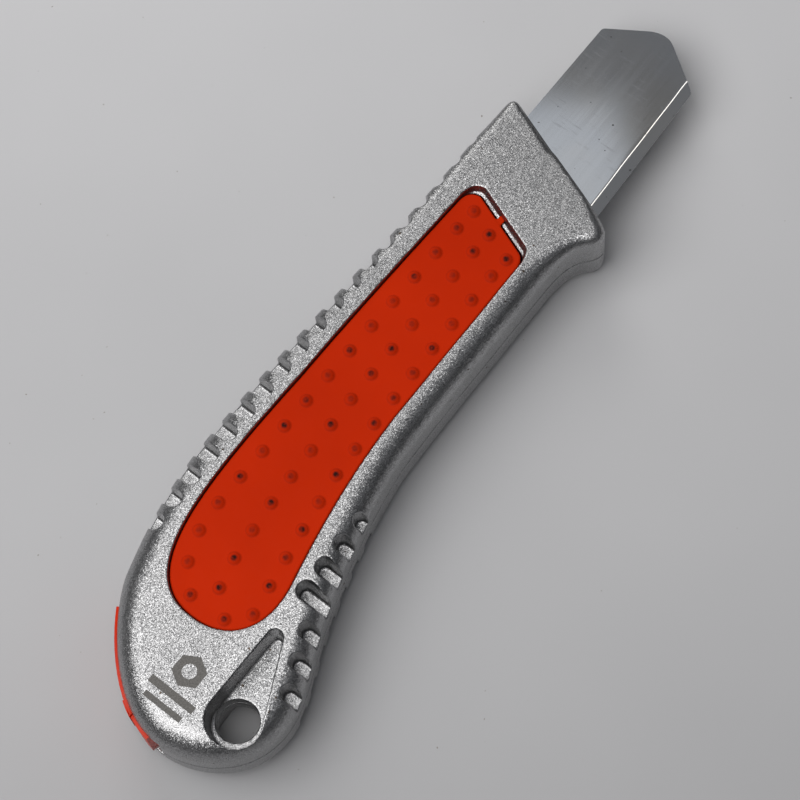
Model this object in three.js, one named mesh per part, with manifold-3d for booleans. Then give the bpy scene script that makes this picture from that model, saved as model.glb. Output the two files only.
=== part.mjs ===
// A heavy utility knife with a sliding blade: two zinc halves joined on their middle plane, rubber grip pads
// let into both faces, a straight blade channel that opens at the nose and at the tail, and a thumb slider in
// the lower face. Millimetres. X runs along the blade towards its tip, Y towards the notched spine, and Z up
// through the thickness. The blade's centre line is y = 0 while the pieces are made, with x counted back from
// the spine end of the nose. The finished knife is then moved so that the middle of its box is over the origin.
import * as THREE from "three";
import { mergeVertices } from "three/addons/utils/BufferGeometryUtils.js";
import Module from "manifold-3d";

const wasm = await Module();
wasm.setup();

// Driving dimensions
const THICKNESS = 19; // over both faces
const MIDDLE = THICKNESS / 2; // the plane where the halves meet
const GAP = 0.3; // between pieces that touch on the real knife
const WEB = 3; // each half's floor in the notches, finger slots and hang recess
const CURVE_STEPS = 8; // points on each curved stretch of an outline
const NOSE_ROUND = 1.1; // rounding of the edge at the nose
const GUARD_ROUND = 1.2; // more rounding on the finger guard
const GUARD_DROP = 3.5; // how much taller than wide the guard's rounding is on the lower half

const BLADE_WIDTH = 25;
const BLADE_THICKNESS = 0.7;
const BLADE_LENGTH = 110;
const BLADE_TIP_X = 31.4;
const BLADE_REAR_X = BLADE_TIP_X - BLADE_LENGTH;
const BEVEL_WIDTH = 2.6; // the ground edge
const EDGE_THICKNESS = 0.1; // at the very edge

const CHANNEL_HALF = BLADE_WIDTH / 2 + 0.4;
const CHANNEL_TOP = 10.95;
const CHANNEL_FLOOR = 4.6;
const CHANNEL_FRONT_X = -21;
const MOUTH_HALF = BLADE_THICKNESS / 2 + GAP; // the slit that the blade comes out of

const TOP_POCKET_FLOOR = 14;
const LOWER_POCKET_FLOOR = 3;
const PAD_RECESS = 0.8; // the pad's skin below the metal face
const PAD_GAP = 0.4;
const PAD_FRONT_GAP = 1.7; // the pad stops short of the upper pocket's front wall, over a ledge
const LEDGE_Z = 17.4;
const TAB_TOP = 18.1;
const DOT_RADIUS = 1.4;

const NOTCH_COUNT = 19;
const NOTCH_FRONT_X = -14.5;
const NOTCH_PITCH = 5.6;
const NOTCH_RADIUS = 1.85;
const NOTCH_INNER_Y = 12.7; // at the tail end
const NOTCH_RISE = 2.3; // how much further out the first one starts

const SLOT_COUNT = 7;
const SLOT_FRONT_X = -90.7;
const SLOT_PITCH = 5.83;
const SLOT_RADIUS = 2;

const TRACK_FRONT_X = -31.5; // the thumb slider's slot
const TRACK_REAR_X = -107;
const TRACK_HALF = 4.1;

const SLIDER_X = -58; // middle of the thumb button
const SLIDER_LENGTH = 16;
const CARRIER_FRONT_X = -46;
const CARRIER_REAR_X = -79;
const BLADE_PIN_X = -73.6;
const RIVET_XS = [-76.4, -67.8];

const CAP_PROUD = 0.4; // the cap and the latch stand out of the tail
const CAP_DEPTH = 2.2;
const CAP_BOTTOM = 4.6;
const CAP_TOP = 14.4;
const LATCH_SPLIT_Y = -6;

// Solids
function solid(geometry) {
  const bare = geometry.index ? geometry.toNonIndexed() : geometry.clone();
  bare.deleteAttribute("normal");
  bare.deleteAttribute("uv");
  const merged = mergeVertices(bare, 1e-4);
  return new wasm.Manifold(
    new wasm.Mesh({
      numProp: 3,
      vertProperties: merged.attributes.position.array,
      triVerts: new Uint32Array(merged.index.array),
    }),
  );
}

function geometryOf(manifold) {
  const mesh = manifold.getMesh();
  const geometry = new THREE.BufferGeometry();
  geometry.setAttribute("position", new THREE.BufferAttribute(mesh.vertProperties, 3));
  geometry.setIndex(new THREE.BufferAttribute(mesh.triVerts, 1));
  geometry.computeVertexNormals();
  return geometry;
}

function prism(shape, low, high, curveSegments = CURVE_STEPS) {
  const options = { depth: high - low, bevelEnabled: false, curveSegments };
  return solid(new THREE.ExtrudeGeometry(shape, options).translate(0, 0, low));
}

// A prism along Y, from a shape drawn in X and Z.
function sideways(shape, low, high) {
  const options = { depth: high - low, bevelEnabled: false, curveSegments: CURVE_STEPS };
  const geometry = new THREE.ExtrudeGeometry(shape, options);
  return solid(geometry.rotateX(Math.PI / 2).translate(0, high, 0));
}

function block(x0, x1, y0, y1, z0, z1) {
  const geometry = new THREE.BoxGeometry(x1 - x0, y1 - y0, z1 - z0);
  return solid(geometry.translate((x0 + x1) / 2, (y0 + y1) / 2, (z0 + z1) / 2));
}

// A turned piece on a vertical axis, from its half profile of [radius, z] corners.
function turned(profile, x, y, sides = 14) {
  const points = profile.map(([r, z]) => new THREE.Vector2(r, z));
  const geometry = new THREE.LatheGeometry(points, sides);
  return solid(geometry.rotateX(Math.PI / 2).translate(x, y, 0));
}

function post(x, y, radius, z0, z1, sides = 14) {
  return turned([[0, z0], [radius, z0], [radius, z1], [0, z1]], x, y, sides);
}

function shapeOf(points) {
  return new THREE.Shape(points.map(([x, y]) => new THREE.Vector2(x, y)));
}

function mesh(name, manifold, color, roughness, metalness) {
  const material = new THREE.MeshStandardMaterial({ color, roughness, metalness });
  const made = new THREE.Mesh(geometryOf(manifold), material);
  made.name = name;
  return made;
}

const ramp = THREE.MathUtils.smoothstep;

// Outlines
const tailEdge = new THREE.CubicBezierCurve(
  new THREE.Vector2(-127, 12.7),
  new THREE.Vector2(-135.2, 9.5),
  new THREE.Vector2(-148.6, -2),
  new THREE.Vector2(-148.6, -13),
);

// The handle seen from above, anticlockwise from the spine end of the nose.
function handleOutline() {
  const s = new THREE.Shape();
  s.moveTo(-2.5, 12.9);
  s.quadraticCurveTo(-1.9, 15, -4.6, 15.1);
  s.lineTo(-14, 15.8);
  s.bezierCurveTo(-40, 15.2, -68, 18.4, -95, 18.3);
  s.bezierCurveTo(-107, 18.3, -117, 15.9, tailEdge.v0.x, tailEdge.v0.y);
  s.bezierCurveTo(tailEdge.v1.x, tailEdge.v1.y, tailEdge.v2.x, tailEdge.v2.y, tailEdge.v3.x, tailEdge.v3.y);
  s.bezierCurveTo(-148.4, -21.5, -142, -31.1, -131.5, -31.1);
  s.bezierCurveTo(-125.5, -31.2, -119, -27.2, -112, -24.4);
  s.bezierCurveTo(-102, -20.4, -88, -16.6, -76, -15.1);
  s.bezierCurveTo(-64, -14.4, -50, -14.4, -33, -14.2);
  s.bezierCurveTo(-25, -14, -21.5, -14.2, -18.6, -16.9);
  s.quadraticCurveTo(-16, -19.4, -13.9, -17.6);
  s.quadraticCurveTo(-12.7, -16.2, -11.7, -13.3);
  s.lineTo(-2.5, 12.9);
  return s;
}

// How far each edge of the handle is rounded over: hardly at the nose, then more and more towards the tail,
// sooner on the belly than on the spine.
function edgeRadius(x, y) {
  if (y > 0) {
    return NOSE_ROUND + 1.4 * ramp(-x, 0, 12) + 3 * ramp(-x, 20, 110);
  }
  return NOSE_ROUND + GUARD_ROUND * guardShare(x, y) + 3.4 * ramp(-x, 16, 32) + ramp(-x, 110, 134);
}

// 1 on the finger guard, fading to 0 along the belly.
function guardShare(x, y) {
  return ramp(-y, 10, 16) * (1 - ramp(-x, 16, 32));
}

// Grip pad and pocket outline, grown outwards by one amount and forwards by another.
function gripOutline(grow, front) {
  const s = new THREE.Shape();
  s.moveTo(-23.3 + front, 6.4 + grow / 2);
  s.quadraticCurveTo(-23.5 + front, 9.1 + grow, -26.5 + front / 2, 9.3 + grow);
  s.bezierCurveTo(-40, 9.8 + grow, -58, 10.5 + grow, -75, 10.5 + grow);
  s.bezierCurveTo(-110, 11.6 + grow, -125.4 - grow, 9.5 + grow, -125.4 - grow, -3.5);
  s.bezierCurveTo(-125.4 - grow, -13 - grow, -118, -17 - grow, -108, -14.3 - grow);
  s.bezierCurveTo(-96, -11.5 - grow, -84, -9.4 - grow, -70, -8.9 - grow);
  s.lineTo(-31.5, -8.5 - grow);
  s.quadraticCurveTo(-29 + front, -8.5 - grow, -28.3 + front, -7 - grow / 2);
  s.closePath();
  return s;
}

// An open-ended cut with a round inner end, running towards +Y when side is 1 and -Y when it is -1.
function openSlot(x, innerY, radius, side) {
  const s = new THREE.Shape();
  const centre = innerY + side * radius;
  s.moveTo(x + side * radius, centre + side * 30);
  s.lineTo(x - side * radius, centre + side * 30);
  s.lineTo(x - side * radius, centre);
  s.absarc(x, centre, radius, side > 0 ? Math.PI : 0, side > 0 ? 2 * Math.PI : Math.PI, false);
  return s;
}

// Two circles of different size joined by their common tangents.
function teardrop(small, smallRadius, big, bigRadius) {
  const along = Math.atan2(small.y - big.y, small.x - big.x);
  const lean = Math.acos((bigRadius - smallRadius) / small.distanceTo(big));
  const s = new THREE.Shape();
  s.absarc(big.x, big.y, bigRadius, along + lean, along - lean + 2 * Math.PI, false);
  s.absarc(small.x, small.y, smallRadius, along - lean, along + lean, false);
  return s;
}

// A straight slot with round ends along X.
function trackSlot(x0, x1, half) {
  const s = new THREE.Shape();
  s.absarc(x1 - half, 0, half, -Math.PI / 2, Math.PI / 2, false);
  s.absarc(x0 + half, 0, half, Math.PI / 2, (3 * Math.PI) / 2, false);
  return s;
}

// A strip that follows the tail edge between two of its parameters.
function tailBand(t0, t1, outer, inner, steps) {
  const out = [];
  const back = [];
  for (let i = 0; i <= steps; i += 1) {
    const t = t0 + ((t1 - t0) * i) / steps;
    const p = tailEdge.getPoint(t);
    const along = tailEdge.getTangent(t);
    const normal = new THREE.Vector2(along.y, -along.x);
    out.push([p.x + normal.x * outer, p.y + normal.y * outer]);
    back.unshift([p.x - normal.x * inner, p.y - normal.y * inner]);
  }
  return shapeOf([...out, ...back]);
}

// A half's outer form, as the upper one: rings of the outline, drawn in as they climb the rounded edge,
// which on the guard is taller than wide by guardDrop.
function handleHalf(guardDrop) {
  const points = handleOutline().getPoints(CURVE_STEPS).slice(0, -1);
  const count = points.length;
  const rings = 5;
  const position = [];
  const index = [];
  const low = MIDDLE + GAP / 2;
  const put = (inset, heightOf) => {
    points.forEach((p, i) => {
      const before = points[(i + count - 1) % count];
      const after = points[(i + 1) % count];
      const a = new THREE.Vector2().subVectors(p, before).normalize();
      const b = new THREE.Vector2().subVectors(after, p).normalize();
      const along = a.add(b).normalize();
      const r = edgeRadius(p.x, p.y);
      const tall = r + guardDrop * guardShare(p.x, p.y);
      position.push(p.x - along.y * r * inset, p.y + along.x * r * inset, heightOf(tall));
    });
  };
  put(0, () => low);
  for (let i = 0; i <= rings; i += 1) {
    const angle = (i / rings) * (Math.PI / 2);
    put(1 - Math.cos(angle), (tall) => THICKNESS - tall * (1 - Math.sin(angle)));
  }
  for (let ring = 0; ring <= rings; ring += 1) {
    for (let i = 0; i < count; i += 1) {
      const a = ring * count + i;
      const b = ring * count + ((i + 1) % count);
      index.push(a, b, b + count, a, b + count, a + count);
    }
  }
  const lastRing = (rings + 1) * count;
  const inner = points.map((_, i) => {
    const start = (lastRing + i) * 3;
    return new THREE.Vector2(position[start], position[start + 1]);
  });
  THREE.ShapeUtils.triangulateShape(points, []).forEach(([a, b, c]) => index.push(a, c, b));
  THREE.ShapeUtils.triangulateShape(inner, []).forEach(([a, b, c]) => {
    index.push(lastRing + a, lastRing + b, lastRing + c);
  });
  const geometry = new THREE.BufferGeometry();
  geometry.setAttribute("position", new THREE.BufferAttribute(new Float32Array(position), 3));
  geometry.setIndex(index);
  return geometry;
}

// The same form turned over for the lower half.
function turnedOver(geometry) {
  const flipped = geometry.clone().scale(1, 1, -1).translate(0, 0, THICKNESS);
  const index = flipped.index.array;
  for (let i = 0; i < index.length; i += 3) {
    [index[i + 1], index[i + 2]] = [index[i + 2], index[i + 1]];
  }
  return flipped;
}

// Shells
const SCREWS = [
  { name: "shell_screw_nose", x: -15.8, y: -15.1 },
  { name: "shell_screw_mid", x: -127, y: -15.1 },
  { name: "shell_screw_tail", x: -141.6, y: -16.4 },
];
const DOWELS = [
  { name: "dowel_pin_front", x: -8.5, y: 14, radius: 0.5 },
  { name: "dowel_pin_rear", x: -121, y: -15.3, radius: 0.8 },
];
const DOWEL_HALF = 3; // half of a dowel hole's depth
const SCREW_RADIUS = 1;
const SCREW_HEAD_RADIUS = 1.8;
const SCREW_TOP = 15;
const HEAD_LOW = 1;
const HEAD_HIGH = 2.4;
const HANG_BIG = new THREE.Vector2(-136.1, -23.1);
const HANG_SMALL = new THREE.Vector2(-119, -19.1);
const HANG_BIG_RADIUS = 5.5;
const HANG_SMALL_RADIUS = 1.5;
const HANG_HOLE = { x: -135.3, y: -22.5, radius: 4.3 };
const LATCH_PIVOT = { x: -145.2, y: -14.3 };
const LATCH_KNUCKLE = 1.5;
const LATCH_WINDOW = [-14, -9.9]; // in y, where the latch's arm comes out of the shells
const LATCH_PIN_RADIUS = 0.8;
const LATCH_PIN_GRIP = 1.4; // how far the pin runs into each half

const webTop = MIDDLE + GAP / 2 + WEB;

// Everything that both halves lose, made for the upper half. No notch starts further in than innermost.
function sharedCuts(innermost) {
  const cuts = [];
  for (let i = 0; i < NOTCH_COUNT; i += 1) {
    const x = NOTCH_FRONT_X - i * NOTCH_PITCH;
    const innerY = NOTCH_INNER_Y + NOTCH_RISE * (1 - i / (NOTCH_COUNT - 1)) ** 2;
    cuts.push(prism(openSlot(x, Math.max(innerY, innermost), NOTCH_RADIUS, 1), webTop, THICKNESS + 1, 3));
  }
  for (let i = 0; i < SLOT_COUNT; i += 1) {
    const x = SLOT_FRONT_X - i * SLOT_PITCH;
    const innerY = i < 4 ? -15.6 - 0.15 * i : -21.4 - 2.5 * (i - 4);
    cuts.push(prism(openSlot(x, innerY, SLOT_RADIUS, -1), webTop, THICKNESS + 1, 4));
  }
  cuts.push(prism(teardrop(HANG_SMALL, HANG_SMALL_RADIUS, HANG_BIG, HANG_BIG_RADIUS), webTop, THICKNESS + 1, 6));
  cuts.push(post(HANG_HOLE.x, HANG_HOLE.y, HANG_HOLE.radius, 0, THICKNESS, 24));
  return wasm.Manifold.union(cuts);
}

// The room for the blade, its slider, the cap and the latch.
function channelCuts() {
  const cuts = [
    block(CHANNEL_FRONT_X, 5, -CHANNEL_HALF, CHANNEL_HALF, MIDDLE - MOUTH_HALF, MIDDLE + MOUTH_HALF),
    block(-160, CHANNEL_FRONT_X, -CHANNEL_HALF, CHANNEL_HALF, CHANNEL_FLOOR, CHANNEL_TOP),
    prism(tailBand(0.18, 1, 3, CAP_DEPTH + GAP, 12), CAP_BOTTOM - GAP, CAP_TOP + GAP),
    block(-160, LATCH_PIVOT.x, ...LATCH_WINDOW, CAP_BOTTOM - GAP, CAP_TOP + GAP),
    post(LATCH_PIVOT.x, LATCH_PIVOT.y, LATCH_KNUCKLE + GAP, CAP_BOTTOM - GAP, CAP_TOP + GAP, 24),
    post(LATCH_PIVOT.x, LATCH_PIVOT.y, LATCH_PIN_RADIUS + GAP, CAP_BOTTOM - LATCH_PIN_GRIP - GAP,
      CAP_TOP + LATCH_PIN_GRIP + GAP),
  ];
  DOWELS.forEach(({ x, y, radius }) => {
    cuts.push(post(x, y, radius + GAP, MIDDLE - DOWEL_HALF - GAP, MIDDLE + DOWEL_HALF));
  });
  return wasm.Manifold.union(cuts);
}

function topShell(outer, channel) {
  const shared = sharedCuts(0);
  const pocket = prism(gripOutline(PAD_GAP, PAD_GAP), TOP_POCKET_FLOOR, THICKNESS + 1);
  const ledge = prism(gripOutline(PAD_GAP, PAD_FRONT_GAP), LEDGE_Z, THICKNESS + 1);
  const screwHoles = SCREWS.map(({ x, y }) => post(x, y, SCREW_RADIUS + GAP, MIDDLE, SCREW_TOP + GAP));
  return outer.subtract(wasm.Manifold.union([shared, channel, pocket, ledge, ...screwHoles]));
}

// The channel lies mostly in the lower half, so its notches stop clear of the channel's wall.
function bottomShell(outer, channel) {
  const flipped = solid(turnedOver(geometryOf(sharedCuts(CHANNEL_HALF + 0.5))));
  const pocket = prism(gripOutline(PAD_GAP, PAD_GAP), -1, LOWER_POCKET_FLOOR);
  const track = prism(trackSlot(TRACK_REAR_X, TRACK_FRONT_X, TRACK_HALF), 0, CHANNEL_FLOOR + 1, 4);
  const screwHoles = SCREWS.map(({ x, y }) => {
    const wide = SCREW_HEAD_RADIUS + GAP;
    const narrow = SCREW_RADIUS + GAP;
    const seat = HEAD_HIGH + GAP;
    return turned([[0, -1], [wide, -1], [wide, seat], [narrow, seat], [narrow, MIDDLE], [0, MIDDLE]], x, y);
  });
  return outer.subtract(wasm.Manifold.union([flipped, channel, pocket, track, ...screwHoles]));
}

// Grip pads
function column(points, count) {
  const curve = new THREE.SplineCurve(points.map(([x, y]) => new THREE.Vector2(x, y)));
  return curve.getSpacedPoints(count - 1);
}

const spineColumn = column([[-31.7, 6], [-71, 6.6], [-104.6, 6.9], [-111.3, 6.3], [-117.8, 3.9], [-122.6, -0.8]], 15);
const middleColumn = column([[-33.7, 0.3], [-66, 0.1], [-92, -0.9], [-105, -1.9], [-117.9, -4.2], [-122.3, -9.1]], 15);
const bellyColumn = column([[-35.6, -5.8], [-54.7, -6.1], [-80, -7.2], [-92.9, -8.5], [-118.2, -12.8]], 14);
const frontRow = [new THREE.Vector2(-26.7, 5.6), new THREE.Vector2(-28.9, 0), new THREE.Vector2(-31, -6)];

// A low dome whose foot is sunk in the pad. direction is 1 on the upper pad and -1 on the lower one.
function dot(x, y, skin, direction) {
  const foot = skin - direction * 0.4;
  const crown = skin + direction * PAD_RECESS;
  const shoulder = skin + direction * PAD_RECESS * 0.62;
  const profile = [[0, foot], [DOT_RADIUS, foot], [DOT_RADIUS, skin], [DOT_RADIUS * 0.7, shoulder], [0, crown]];
  return turned(direction > 0 ? profile : profile.reverse(), x, y, 6);
}

function topPad() {
  const skin = THICKNESS - PAD_RECESS;
  const low = TOP_POCKET_FLOOR + GAP;
  const dots = [...spineColumn, ...middleColumn, ...bellyColumn, ...frontRow];
  const domes = dots.map((p) => dot(p.x, p.y, skin, 1));
  const tab = shapeOf([[-27, -0.3], [-24.5, -0.6], [-24, 0.8], [-26.5, 1.1]]);
  return wasm.Manifold.union([prism(gripOutline(0, 0), low, skin), prism(tab, LEDGE_Z + GAP, TAB_TOP), ...domes]);
}

// The lower pad has the slider's slot down its middle, so its dots stand in two columns, set further out.
function lowerPad() {
  const skin = PAD_RECESS;
  const high = LOWER_POCKET_FLOOR - GAP;
  const spineDots = spineColumn.slice(0, 13).map((p) => dot(p.x, p.y + 0.9, skin, -1));
  const bellyDots = bellyColumn.map((p) => dot(p.x, p.y - 0.5, skin, -1));
  const tailDots = [[-117.6, 3.9], [-122, -0.8], [-112.6, -2.6], [-117.9, -4.4], [-122, -8.9]];
  const domes = tailDots.map(([x, y]) => dot(x, y, skin, -1));
  const plate = prism(gripOutline(0, 0), skin, high);
  const slot = prism(trackSlot(TRACK_REAR_X - GAP, TRACK_FRONT_X + GAP, TRACK_HALF + GAP), 0, high + 1, 4);
  return wasm.Manifold.union([plate.subtract(slot), ...spineDots, ...bellyDots, ...domes]);
}

// Blade and slider
function blade() {
  const half = BLADE_WIDTH / 2;
  const s = new THREE.Shape();
  s.moveTo(BLADE_REAR_X, -half);
  s.lineTo(-9.4, -half);
  s.lineTo(23.4, -half + 1.3);
  s.lineTo(24.7, -10);
  s.lineTo(31, -0.6);
  s.quadraticCurveTo(31.9, 1.2, 31, 2.8);
  s.lineTo(25, 12);
  s.quadraticCurveTo(24.7, half, 24.1, half);
  s.lineTo(BLADE_REAR_X, half);
  const face = prism(s, 0, THICKNESS);
  const t = BLADE_THICKNESS / 2;
  const edge = EDGE_THICKNESS / 2;
  const section = shapeOf([[half + 1, -t], [half + 1, t], [BEVEL_WIDTH - half, t], [-half, edge], [-half, -edge],
    [BEVEL_WIDTH - half, -t]]);
  const length = BLADE_LENGTH + 4;
  const bar = new THREE.ExtrudeGeometry(section, { depth: length, bevelEnabled: false });
  bar.rotateX(Math.PI / 2).rotateZ(Math.PI / 2).translate(BLADE_REAR_X - 2, 0, MIDDLE);
  const pinHole = post(BLADE_PIN_X, 0, 1.8, 0, THICKNESS);
  return solid(bar).intersect(face).subtract(pinHole);
}

const CARRIER_LOW = 6.9;
const CARRIER_HIGH = MIDDLE - BLADE_THICKNESS / 2 - GAP;
const SPRING_LOW = 5.9;

function carrier() {
  const x0 = CARRIER_REAR_X;
  const x1 = CARRIER_FRONT_X;
  const outline = shapeOf([[x0, -9], [x0 + 3, -12], [x1 - 3, -12], [x1, -9], [x1, 9], [x1 - 3, 12], [x0 + 3, 12],
    [x0, 9]]);
  const body = prism(outline, CARRIER_LOW, CARRIER_HIGH);
  const pinHole = post(BLADE_PIN_X, 0, 1.7, CARRIER_LOW + 0.5, CARRIER_HIGH + 1);
  const rivetHoles = RIVET_XS.map((x) => post(x, 0, 0.9, CARRIER_LOW - 1, CARRIER_HIGH - 0.4));
  return body.subtract(wasm.Manifold.union([pinHole, ...rivetHoles]));
}

function bladePin() {
  return post(BLADE_PIN_X, 0, 1.4, CARRIER_LOW + 0.8, MIDDLE + BLADE_THICKNESS / 2 + 0.1, 18);
}

// The leaf spring is flat where it is riveted to the carrier and bows down to the button in front.
function leafSpring() {
  const s = new THREE.Shape();
  s.moveTo(-78.5, SPRING_LOW + 0.35);
  s.lineTo(-78.5, SPRING_LOW + 0.7);
  s.lineTo(-65, SPRING_LOW + 0.7);
  s.quadraticCurveTo(-61, SPRING_LOW + 0.7, -58, SPRING_LOW + 0.35);
  s.quadraticCurveTo(-55, SPRING_LOW + 0.4, -51, SPRING_LOW + 0.7);
  s.lineTo(-51, SPRING_LOW + 0.35);
  s.quadraticCurveTo(-55, SPRING_LOW + 0.05, -58, SPRING_LOW);
  s.quadraticCurveTo(-61, SPRING_LOW + 0.35, -65, SPRING_LOW + 0.35);
  const holes = RIVET_XS.map((x) => post(x, 0, 0.9, 0, THICKNESS));
  return sideways(s, -3.4, 3.4).subtract(wasm.Manifold.union(holes));
}

function springRivet(x) {
  const head = SPRING_LOW + 0.05;
  return turned([[0, head - 0.5], [1.1, head - 0.5], [1.5, head], [0.6, head], [0.6, CARRIER_HIGH - 0.7],
    [0, CARRIER_HIGH - 0.7]], x, 0);
}

// The thumb button: a ribbed head with round ends that lies below the pad's face, and a neck through the slot.
function thumbButton() {
  const x0 = SLIDER_X - SLIDER_LENGTH / 2;
  const x1 = SLIDER_X + SLIDER_LENGTH / 2;
  const ribs = 6;
  const pitch = SLIDER_LENGTH / ribs;
  const outline = [[x0, 2], [x0, 1]];
  for (let i = 0; i < ribs; i += 1) {
    const x = x0 + i * pitch;
    outline.push([x + pitch * 0.25, 0.3], [x + pitch * 0.65, 0.3], [x + pitch * 0.85, 0.9]);
  }
  outline.push([x1, 1], [x1, 2]);
  const plan = prism(trackSlot(x0, x1, TRACK_HALF), 0, 3, 4);
  const head = sideways(shapeOf(outline), -TRACK_HALF, TRACK_HALF).intersect(plan);
  const neck = block(SLIDER_X - 5, SLIDER_X + 5, 0.4 - TRACK_HALF, TRACK_HALF - 0.4, 1.5, SPRING_LOW - GAP);
  return head.add(neck);
}

// A stainless plate on the channel's floor, with a row of teeth along its slot that the slider clicks over.
function detentPlate() {
  const teeth = 12;
  const first = TRACK_FRONT_X - 6;
  const slot = [prism(trackSlot(TRACK_REAR_X - GAP, TRACK_FRONT_X + GAP, TRACK_HALF), 0, THICKNESS, 4)];
  for (let i = 0; i < teeth; i += 1) {
    const x = first - i * NOTCH_PITCH;
    const tooth = shapeOf([[x - 1.4, TRACK_HALF - 0.5], [x + 1.4, TRACK_HALF - 0.5], [x + 0.6, TRACK_HALF + 1.2],
      [x - 0.6, TRACK_HALF + 1.2]]);
    slot.push(prism(tooth, 0, THICKNESS));
  }
  const low = CHANNEL_FLOOR + GAP / 2;
  const plate = block(TRACK_REAR_X - 5, CHANNEL_FRONT_X - 1, -12.4, 12.4, low, low + 0.5);
  return plate.subtract(wasm.Manifold.union(slot));
}

// The wear strip between the blade and the upper half.
function bladeLiner() {
  const low = MIDDLE + MOUTH_HALF;
  return block(TRACK_REAR_X - 5, CHANNEL_FRONT_X - 1, -12.4, 12.4, low, low + 0.5);
}

// Tail
const tailWindow = block(-160, -100, -CHANNEL_HALF + GAP, CHANNEL_HALF - GAP, CHANNEL_FLOOR + GAP, CHANNEL_TOP - GAP);

function endCap() {
  const flange = prism(tailBand(0.2, 0.8, CAP_PROUD, CAP_DEPTH, 10), CAP_BOTTOM, CAP_TOP);
  const lip = prism(tailBand(0.7, 0.8, CAP_PROUD + 0.25, 0, 3), CAP_BOTTOM + 2, CAP_TOP);
  const plug = prism(tailBand(0, 0.8, 0, 4.2, 10), CHANNEL_FLOOR, CHANNEL_TOP).intersect(tailWindow);
  const keep = block(-160, -100, LATCH_SPLIT_Y, 40, 0, THICKNESS);
  return wasm.Manifold.union([flange, lip, plug]).intersect(keep);
}

function capLatch() {
  const strip = prism(tailBand(0.7, 0.955, CAP_PROUD, CAP_DEPTH - 0.4, 8), CAP_BOTTOM, CAP_TOP);
  const knuckle = post(LATCH_PIVOT.x, LATCH_PIVOT.y, LATCH_KNUCKLE, CAP_BOTTOM, CAP_TOP, 24);
  const arm = block(-146.7, -145.6, -13, -10.2, CAP_BOTTOM, CAP_TOP);
  const root = block(-147.6, -145.6, -11.8, -10.2, CAP_BOTTOM, CAP_TOP);
  const keep = block(-160, -100, -30, LATCH_SPLIT_Y - GAP, 0, THICKNESS);
  const bore = post(LATCH_PIVOT.x, LATCH_PIVOT.y, LATCH_PIN_RADIUS + 0.05, 0, THICKNESS);
  return wasm.Manifold.union([strip, knuckle, arm, root]).intersect(keep).subtract(bore);
}

function latchPin() {
  return post(LATCH_PIVOT.x, LATCH_PIVOT.y, LATCH_PIN_RADIUS, CAP_BOTTOM - LATCH_PIN_GRIP, CAP_TOP + LATCH_PIN_GRIP);
}

// Colours
const SILVER = 0xb9bcc0;
const ORANGE = 0xd23a10;
const STEEL = 0xc9ccd1;
const DARK_STEEL = 0x6d7075;

const outerTop = solid(handleHalf(0));
const outerBottom = solid(turnedOver(handleHalf(GUARD_DROP)));
const channel = channelCuts();

const knife = new THREE.Group();
knife.add(
  mesh("top_shell", topShell(outerTop, channel), SILVER, 0.45, 0.9),
  mesh("bottom_shell", bottomShell(outerBottom, channel), SILVER, 0.45, 0.9),
  mesh("grip_pad_top", topPad(), ORANGE, 0.6, 0),
  mesh("grip_pad_bottom", lowerPad(), ORANGE, 0.6, 0),
  mesh("blade", blade(), STEEL, 0.2, 1),
  mesh("blade_carrier", carrier(), 0x2b2c2e, 0.6, 0),
  mesh("blade_pin", bladePin(), STEEL, 0.3, 1),
  mesh("leaf_spring", leafSpring(), STEEL, 0.3, 1),
  mesh("thumb_button", thumbButton(), ORANGE, 0.5, 0),
  mesh("detent_plate", detentPlate(), STEEL, 0.35, 1),
  mesh("blade_liner", bladeLiner(), STEEL, 0.35, 1),
  mesh("end_cap", endCap(), ORANGE, 0.45, 0),
  mesh("cap_latch", capLatch(), ORANGE, 0.45, 0),
  mesh("latch_pin", latchPin(), DARK_STEEL, 0.35, 1),
);
RIVET_XS.forEach((x, i) => knife.add(mesh(`spring_rivet_${i + 1}`, springRivet(x), STEEL, 0.4, 1)));
SCREWS.forEach(({ name, x, y }) => {
  const drive = post(x, y, 0.8, 0, HEAD_LOW + 0.8, 6);
  const profile = [[0, HEAD_LOW], [SCREW_HEAD_RADIUS, HEAD_LOW], [SCREW_HEAD_RADIUS, HEAD_HIGH],
    [SCREW_RADIUS, HEAD_HIGH], [SCREW_RADIUS, SCREW_TOP], [0, SCREW_TOP]];
  knife.add(mesh(name, turned(profile, x, y, 18).subtract(drive), DARK_STEEL, 0.4, 1));
});
DOWELS.forEach(({ name, x, y, radius }) => {
  knife.add(mesh(name, post(x, y, radius, MIDDLE - DOWEL_HALF, MIDDLE + DOWEL_HALF - GAP), STEEL, 0.4, 1));
});

// The origin is under the middle of the knife's box, on the surface it rests on.
const box = new THREE.Box3().setFromObject(knife);
const middle = box.getCenter(new THREE.Vector3());
knife.position.set(-middle.x, -middle.y, -box.min.z);

const model = new THREE.Group();
model.add(knife);

export default model;
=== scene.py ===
import math
import random

import bmesh
import bpy
from mathutils import Matrix, Vector
from mathutils.kdtree import KDTree


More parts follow.
